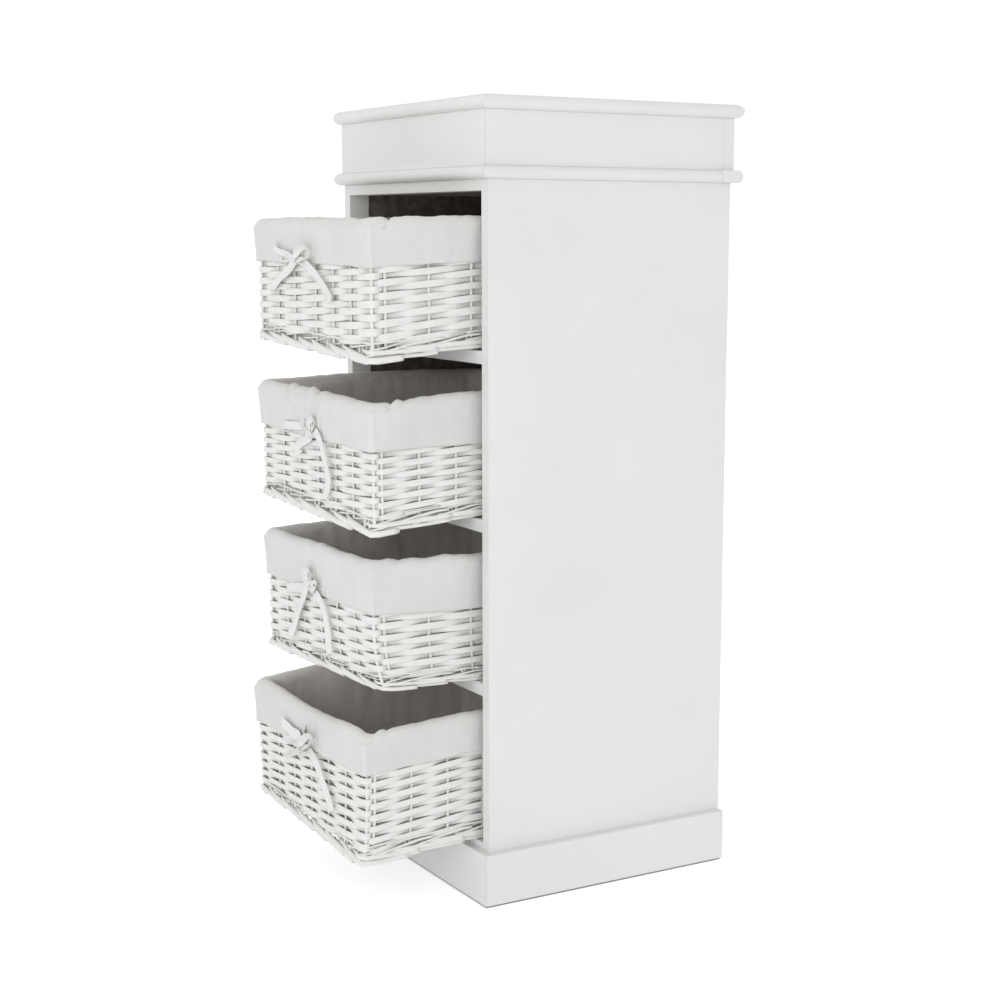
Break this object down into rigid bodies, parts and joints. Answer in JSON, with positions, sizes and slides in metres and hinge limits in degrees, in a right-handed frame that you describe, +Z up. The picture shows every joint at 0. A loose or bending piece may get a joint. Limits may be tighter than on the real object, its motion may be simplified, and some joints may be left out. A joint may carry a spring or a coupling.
{
  "type": "chest of drawers",
  "caption": "Narrow painted chest of drawers with a boxed top and cloth-lined wicker baskets that slide out as drawers.",
  "frame": {"origin": "on the floor, under the centre of the whole part with its baskets pulled out as in the picture", "axes": "+X to the right of someone facing the front, +Y from the front to the back, +Z up"},
  "size_m": [0.4, 0.5026, 0.95],
  "materials": {
    "white_paint": "satin white paint on board",
    "raw_hardboard": "raw hardboard",
    "glide_plastic": "matte plastic",
    "white_wicker": "white painted willow",
    "linen": "plain woven cotton"
  },
  "bodies": {
    "cabinet": {"top_board": "white_paint", "frieze_front": "white_paint", "frieze_back": "white_paint", "frieze_left": "white_paint", "frieze_right": "white_paint", "cornice_front": "white_paint", "cornice_back": "white_paint", "cornice_left": "white_paint", "cornice_right": "white_paint", "carcass_top": "white_paint", "side_left": "white_paint", "side_right": "white_paint", "shelf_1": "white_paint", "shelf_2": "white_paint", "shelf_3": "white_paint", "bottom_board": "white_paint", "back_panel": "raw_hardboard", "plinth_front": "white_paint", "plinth_left": "white_paint", "plinth_right": "white_paint", "glides": "glide_plastic"},
    "basket_1": {"basket_1_stakes": "white_wicker", "basket_1_weave": "white_wicker", "basket_1_base": "white_wicker", "basket_1_foot": "white_wicker", "basket_1_rim": "white_wicker", "basket_1_lining": "linen", "basket_1_tie": "linen"},
    "basket_2": {"basket_2_stakes": "white_wicker", "basket_2_weave": "white_wicker", "basket_2_base": "white_wicker", "basket_2_foot": "white_wicker", "basket_2_rim": "white_wicker", "basket_2_lining": "linen", "basket_2_tie": "linen"},
    "basket_3": {"basket_3_stakes": "white_wicker", "basket_3_weave": "white_wicker", "basket_3_base": "white_wicker", "basket_3_foot": "white_wicker", "basket_3_rim": "white_wicker", "basket_3_lining": "linen", "basket_3_tie": "linen"},
    "basket_4": {"basket_4_stakes": "white_wicker", "basket_4_weave": "white_wicker", "basket_4_base": "white_wicker", "basket_4_foot": "white_wicker", "basket_4_rim": "white_wicker", "basket_4_lining": "linen", "basket_4_tie": "linen"}
  },
  "joints": [
    {"name": "basket_1_slide", "type": "slide", "parent": "cabinet", "child": "basket_1", "axis": [0, -1, 0], "range_m": [-0.129, 0.113]},
    {"name": "basket_2_slide", "type": "slide", "parent": "cabinet", "child": "basket_2", "axis": [0, -1, 0], "range_m": [-0.129, 0.113]},
    {"name": "basket_3_slide", "type": "slide", "parent": "cabinet", "child": "basket_3", "axis": [0, -1, 0], "range_m": [-0.1275, 0.1145]},
    {"name": "basket_4_slide", "type": "slide", "parent": "cabinet", "child": "basket_4", "axis": [0, -1, 0], "range_m": [-0.1415, 0.1005]}
  ]
}
